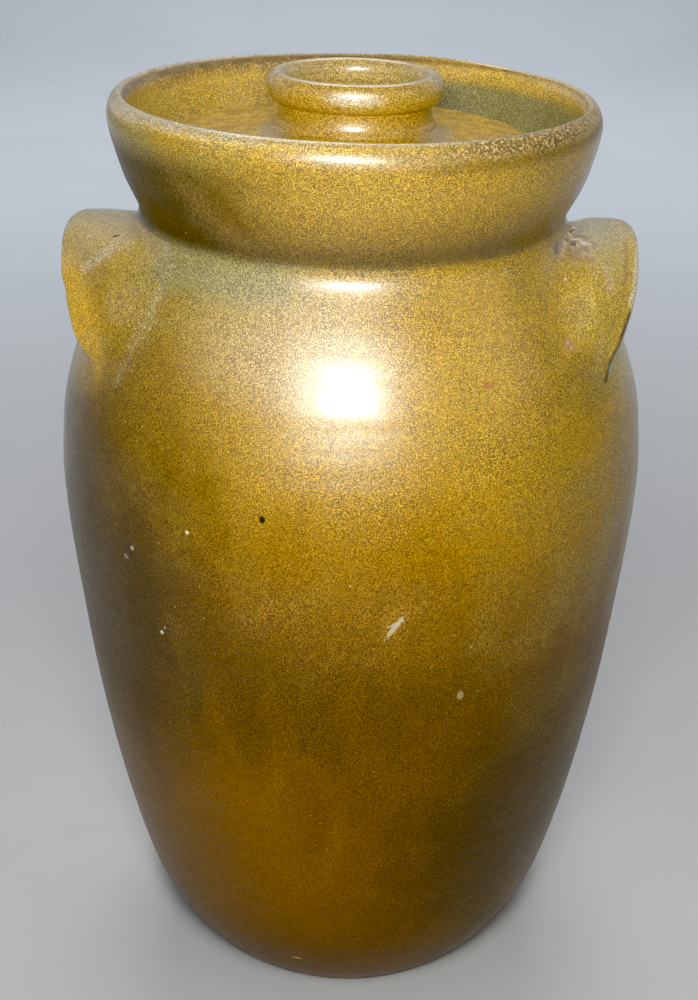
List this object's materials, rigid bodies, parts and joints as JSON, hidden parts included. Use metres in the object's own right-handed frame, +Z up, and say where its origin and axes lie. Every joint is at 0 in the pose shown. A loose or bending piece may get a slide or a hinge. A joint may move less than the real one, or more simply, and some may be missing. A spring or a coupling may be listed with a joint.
{
  "type": "water-sealed stoneware fermenting crock",
  "caption": "Egg-shaped glazed stoneware crock with a flared collar, lug handles, a sunken lift-off lid with a ring grip, and split press weights inside.",
  "frame": {"origin": "centre of the base, on the face the crock stands on", "axes": "+Z up along the crock's turning axis; the handles are on the +X and -X sides"},
  "size_m": [0.2386, 0.2386, 0.3885],
  "materials": {
    "body_glaze": "glossy speckled ochre to amber-brown ash glaze",
    "collar_glaze": "glossy speckled olive-ochre glaze, rubbed pale on the lip",
    "throat_glaze": "pooled grey-green glaze",
    "lug_glaze": "glossy speckled ochre glaze",
    "lid_glaze": "glossy speckled ochre glaze",
    "bare_clay": "unglazed fired stoneware",
    "weight_clay": "unglazed fired stoneware"
  },
  "bodies": {
    "crock": {"crock_body": "body_glaze", "flared_collar": "collar_glaze", "throat_ring": "throat_glaze", "lug_handle_left": "lug_glaze", "lug_handle_right": "lug_glaze"},
    "lid": {"lid_disc": "lid_glaze", "lid_skirt": "bare_clay", "lid_neck": "lid_glaze", "lid_grip_ring": "lid_glaze"},
    "left_weight": {"press_weight_left": "weight_clay"},
    "right_weight": {"press_weight_right": "weight_clay"}
  },
  "joints": [
    {"name": "lid_lift", "type": "slide", "parent": "crock", "child": "lid", "axis": [0, 0, 1], "range_m": [0, 0.2]},
    {"name": "left_weight_rise", "type": "slide", "parent": "crock", "child": "left_weight", "axis": [0, 0, 1], "range_m": [0, 0.28]},
    {"name": "right_weight_rise", "type": "slide", "parent": "crock", "child": "right_weight", "axis": [0, 0, 1], "range_m": [0, 0.28]}
  ]
}
